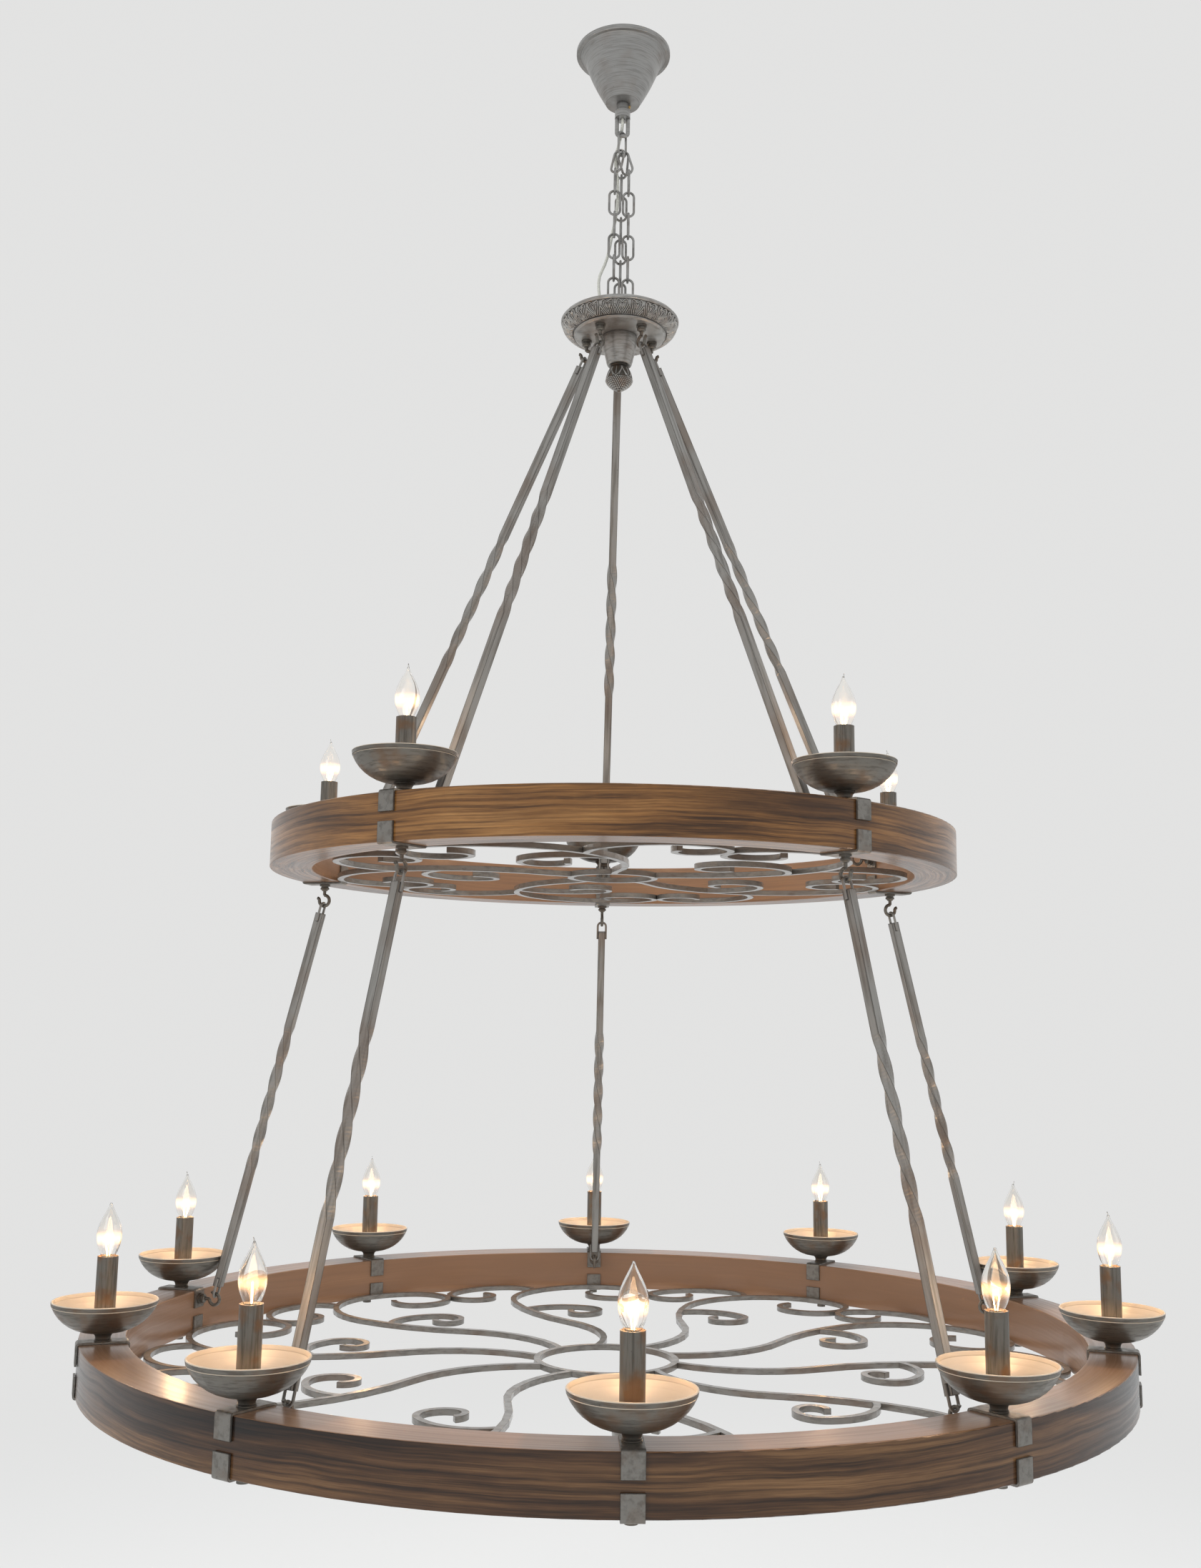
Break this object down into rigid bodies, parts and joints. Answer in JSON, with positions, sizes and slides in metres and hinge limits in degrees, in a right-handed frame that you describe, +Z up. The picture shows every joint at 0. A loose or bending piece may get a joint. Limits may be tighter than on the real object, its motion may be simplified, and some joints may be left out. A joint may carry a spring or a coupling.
{
  "type": "two tier ring chandelier",
  "caption": "Hanging chandelier of two stacked wood rings with iron scrollwork, twisted square hangers, a chain and candle lights in cups.",
  "frame": {"origin": "centre of the ceiling mount, on the ceiling plane where the crossbar and the canopy's rim meet it", "axes": "+Z up into the ceiling, the fixture hangs along -Z, -Y is the side facing the picture's camera"},
  "size_m": [1.5304, 1.6018, 2.185],
  "materials": {
    "pewter_iron": "dry-brushed pewter over dark iron, satin",
    "dark_iron": "dark pewter wash with rubbed high spots, satin",
    "walnut": "brown stained open-grain wood, low sheen",
    "zinc_steel": "plain zinc-plated steel",
    "plain_brass": "plain turned brass",
    "clear_cord": "clear pale vinyl over silvered wire",
    "porcelain": "white glazed socket body",
    "bulb_glass": "clear glass with a lit filament"
  },
  "bodies": {
    "ceiling_mount": {"ceiling_crossbar": "zinc_steel", "nipple_locknut": "zinc_steel", "threaded_nipple": "zinc_steel", "canopy": "pewter_iron", "canopy_collar": "pewter_iron", "collar_set_screw": "plain_brass", "canopy_cord": "clear_cord"},
    "canopy_loop": {"canopy_loop": "pewter_iron"},
    "common_link": {"common_link": "pewter_iron", "link_cord": "clear_cord"},
    "chain_and_hub": {"chain_links": "pewter_iron", "supply_cord": "clear_cord", "hub_loops": "pewter_iron", "hub_cover": "dark_iron", "hub_dish": "pewter_iron", "hub_cone": "pewter_iron", "hub_finial": "dark_iron", "hub_hooks": "pewter_iron"},
    "upper_tier": {"upper_ring": "walnut", "upper_straps": "pewter_iron", "upper_ring_hooks": "pewter_iron", "upper_scrollwork": "pewter_iron", "upper_stems": "pewter_iron", "upper_cups": "pewter_iron", "upper_sockets": "porcelain", "upper_sleeves": "pewter_iron"},
    "lower_tier": {"lower_ring": "walnut", "lower_straps": "pewter_iron", "lower_ring_hooks": "pewter_iron", "lower_cap_nuts": "pewter_iron", "lower_scrollwork": "pewter_iron", "lower_stems": "pewter_iron", "lower_cups": "pewter_iron", "lower_sockets": "porcelain", "lower_sleeves": "pewter_iron"},
    "upper_bar_1": {"upper_bar_1": "pewter_iron"},
    "upper_bar_2": {"upper_bar_2": "pewter_iron"},
    "upper_bar_3": {"upper_bar_3": "pewter_iron"},
    "upper_bar_4": {"upper_bar_4": "pewter_iron"},
    "upper_bar_5": {"upper_bar_5": "pewter_iron"},
    "lower_bar_1": {"lower_bar_1": "pewter_iron"},
    "lower_bar_2": {"lower_bar_2": "pewter_iron"},
    "lower_bar_3": {"lower_bar_3": "pewter_iron"},
    "lower_bar_4": {"lower_bar_4": "pewter_iron"},
    "lower_bar_5": {"lower_bar_5": "pewter_iron"},
    "bulb_1": {"bulb_1": "bulb_glass"},
    "bulb_2": {"bulb_2": "bulb_glass"},
    "bulb_3": {"bulb_3": "bulb_glass"},
    "bulb_4": {"bulb_4": "bulb_glass"},
    "bulb_5": {"bulb_5": "bulb_glass"},
    "bulb_6": {"bulb_6": "bulb_glass"},
    "bulb_7": {"bulb_7": "bulb_glass"},
    "bulb_8": {"bulb_8": "bulb_glass"},
    "bulb_9": {"bulb_9": "bulb_glass"},
    "bulb_10": {"bulb_10": "bulb_glass"},
    "bulb_11": {"bulb_11": "bulb_glass"},
    "bulb_12": {"bulb_12": "bulb_glass"},
    "bulb_13": {"bulb_13": "bulb_glass"},
    "bulb_14": {"bulb_14": "bulb_glass"},
    "bulb_15": {"bulb_15": "bulb_glass"}
  },
  "joints": [
    {"name": "fixture_turn", "type": "hinge", "parent": "ceiling_mount", "child": "canopy_loop", "pos_m": [0, 0, -0.124], "axis": [0, 0, 1], "range_deg": [-180, 180]},
    {"name": "link_swing", "type": "hinge", "parent": "canopy_loop", "child": "common_link", "pos_m": [0, 0, -0.1552], "axis": [1, 0, 0], "range_deg": [-8, 8]},
    {"name": "chain_swing", "type": "hinge", "parent": "common_link", "child": "chain_and_hub", "pos_m": [0, 0, -0.1931], "axis": [0.7071, 0.7071, 0], "range_deg": [-5, 5]},
    {"name": "upper_ring_turn", "type": "hinge", "parent": "chain_and_hub", "child": "upper_tier", "pos_m": [0, 0, -1.4045], "axis": [0, 0, 1], "range_deg": [-4, 4]},
    {"name": "lower_ring_turn", "type": "hinge", "parent": "upper_tier", "child": "lower_tier", "pos_m": [0, 0, -2.1395], "axis": [0, 0, 1], "range_deg": [-1.5, 1.5]},
    {"name": "upper_bar_1_swing", "type": "hinge", "parent": "chain_and_hub", "child": "upper_bar_1", "pos_m": [-0.05872, 0.01908, -0.55953], "axis": [-0.8649, 0.281, 0.4158], "range_deg": [-2.1, 2.1]},
    {"name": "upper_bar_2_swing", "type": "hinge", "parent": "chain_and_hub", "child": "upper_bar_2", "pos_m": [-0.03629, -0.04995, -0.55953], "axis": [-0.5346, -0.7358, 0.4158], "range_deg": [-2.1, 2.1]},
    {"name": "upper_bar_3_swing", "type": "hinge", "parent": "chain_and_hub", "child": "upper_bar_3", "pos_m": [0.03629, -0.04995, -0.55953], "axis": [0.5346, -0.7358, 0.4158], "range_deg": [-2.1, 2.1]},
    {"name": "upper_bar_4_swing", "type": "hinge", "parent": "chain_and_hub", "child": "upper_bar_4", "pos_m": [0.05872, 0.01908, -0.55953], "axis": [0.8649, 0.281, 0.4158], "range_deg": [-2.1, 2.1]},
    {"name": "upper_bar_5_swing", "type": "hinge", "parent": "chain_and_hub", "child": "upper_bar_5", "pos_m": [0, 0.06174, -0.55953], "axis": [0, 0.9095, 0.4158], "range_deg": [-2.1, 2.1]},
    {"name": "lower_bar_1_swing", "type": "hinge", "parent": "upper_tier", "child": "lower_bar_1", "pos_m": [-0.4786, 0.15551, -1.47672], "axis": [-0.9213, 0.2994, 0.2481], "range_deg": [-1.7, 1.7]},
    {"name": "lower_bar_2_swing", "type": "hinge", "parent": "upper_tier", "child": "lower_bar_2", "pos_m": [-0.29579, -0.40712, -1.47672], "axis": [-0.5694, -0.7837, 0.2481], "range_deg": [-1.7, 1.7]},
    {"name": "lower_bar_3_swing", "type": "hinge", "parent": "upper_tier", "child": "lower_bar_3", "pos_m": [0.29579, -0.40712, -1.47672], "axis": [0.5694, -0.7837, 0.2481], "range_deg": [-1.7, 1.7]},
    {"name": "lower_bar_4_swing", "type": "hinge", "parent": "upper_tier", "child": "lower_bar_4", "pos_m": [0.4786, 0.15551, -1.47672], "axis": [0.9213, 0.2994, 0.2481], "range_deg": [-1.7, 1.7]},
    {"name": "lower_bar_5_swing", "type": "hinge", "parent": "upper_tier", "child": "lower_bar_5", "pos_m": [0, 0.50323, -1.47672], "axis": [0, 0.9687, 0.2481], "range_deg": [-1.7, 1.7]},
    {"name": "bulb_1_unscrew", "type": "hinge", "parent": "upper_tier", "child": "bulb_1", "pos_m": [-0.47648, 0.15482, -1.263], "axis": [0, 0, 1], "range_deg": [0, 1080]},
    {"name": "bulb_2_unscrew", "type": "hinge", "parent": "upper_tier", "child": "bulb_2", "pos_m": [-0.29448, -0.40532, -1.263], "axis": [0, 0, 1], "range_deg": [0, 1080]},
    {"name": "bulb_3_unscrew", "type": "hinge", "parent": "upper_tier", "child": "bulb_3", "pos_m": [0.29448, -0.40532, -1.263], "axis": [0, 0, 1], "range_deg": [0, 1080]},
    {"name": "bulb_4_unscrew", "type": "hinge", "parent": "upper_tier", "child": "bulb_4", "pos_m": [0.47648, 0.15482, -1.263], "axis": [0, 0, 1], "range_deg": [0, 1080]},
    {"name": "bulb_5_unscrew", "type": "hinge", "parent": "upper_tier", "child": "bulb_5", "pos_m": [0, 0.501, -1.263], "axis": [0, 0, 1], "range_deg": [0, 1080]},
    {"name": "bulb_6_unscrew", "type": "hinge", "parent": "lower_tier", "child": "bulb_6", "pos_m": [-0.42908, 0.59058, -1.988], "axis": [0, 0, 1], "range_deg": [0, 1080]},
    {"name": "bulb_7_unscrew", "type": "hinge", "parent": "lower_tier", "child": "bulb_7", "pos_m": [-0.69427, 0.22558, -1.988], "axis": [0, 0, 1], "range_deg": [0, 1080]},
    {"name": "bulb_8_unscrew", "type": "hinge", "parent": "lower_tier", "child": "bulb_8", "pos_m": [-0.69427, -0.22558, -1.988], "axis": [0, 0, 1], "range_deg": [0, 1080]},
    {"name": "bulb_9_unscrew", "type": "hinge", "parent": "lower_tier", "child": "bulb_9", "pos_m": [-0.42908, -0.59058, -1.988], "axis": [0, 0, 1], "range_deg": [0, 1080]},
    {"name": "bulb_10_unscrew", "type": "hinge", "parent": "lower_tier", "child": "bulb_10", "pos_m": [0, -0.73, -1.988], "axis": [0, 0, 1], "range_deg": [0, 1080]},
    {"name": "bulb_11_unscrew", "type": "hinge", "parent": "lower_tier", "child": "bulb_11", "pos_m": [0.42908, -0.59058, -1.988], "axis": [0, 0, 1], "range_deg": [0, 1080]},
    {"name": "bulb_12_unscrew", "type": "hinge", "parent": "lower_tier", "child": "bulb_12", "pos_m": [0.69427, -0.22558, -1.988], "axis": [0, 0, 1], "range_deg": [0, 1080]},
    {"name": "bulb_13_unscrew", "type": "hinge", "parent": "lower_tier", "child": "bulb_13", "pos_m": [0.69427, 0.22558, -1.988], "axis": [0, 0, 1], "range_deg": [0, 1080]},
    {"name": "bulb_14_unscrew", "type": "hinge", "parent": "lower_tier", "child": "bulb_14", "pos_m": [0.42908, 0.59058, -1.988], "axis": [0, 0, 1], "range_deg": [0, 1080]},
    {"name": "bulb_15_unscrew", "type": "hinge", "parent": "lower_tier", "child": "bulb_15", "pos_m": [0, 0.73, -1.988], "axis": [0, 0, 1], "range_deg": [0, 1080]}
  ],
  "couplings": [
    {"joint": "upper_bar_1_swing", "follows": "upper_ring_turn", "ratio": 0.4846},
    {"joint": "upper_bar_2_swing", "follows": "upper_ring_turn", "ratio": 0.4846},
    {"joint": "upper_bar_3_swing", "follows": "upper_ring_turn", "ratio": 0.4846},
    {"joint": "upper_bar_4_swing", "follows": "upper_ring_turn", "ratio": 0.4846},
    {"joint": "upper_bar_5_swing", "follows": "upper_ring_turn", "ratio": 0.4846},
    {"joint": "lower_bar_1_swing", "follows": "lower_ring_turn", "ratio": 1.0175},
    {"joint": "lower_bar_2_swing", "follows": "lower_ring_turn", "ratio": 1.0175},
    {"joint": "lower_bar_3_swing", "follows": "lower_ring_turn", "ratio": 1.0175},
    {"joint": "lower_bar_4_swing", "follows": "lower_ring_turn", "ratio": 1.0175},
    {"joint": "lower_bar_5_swing", "follows": "lower_ring_turn", "ratio": 1.0175}
  ]
}
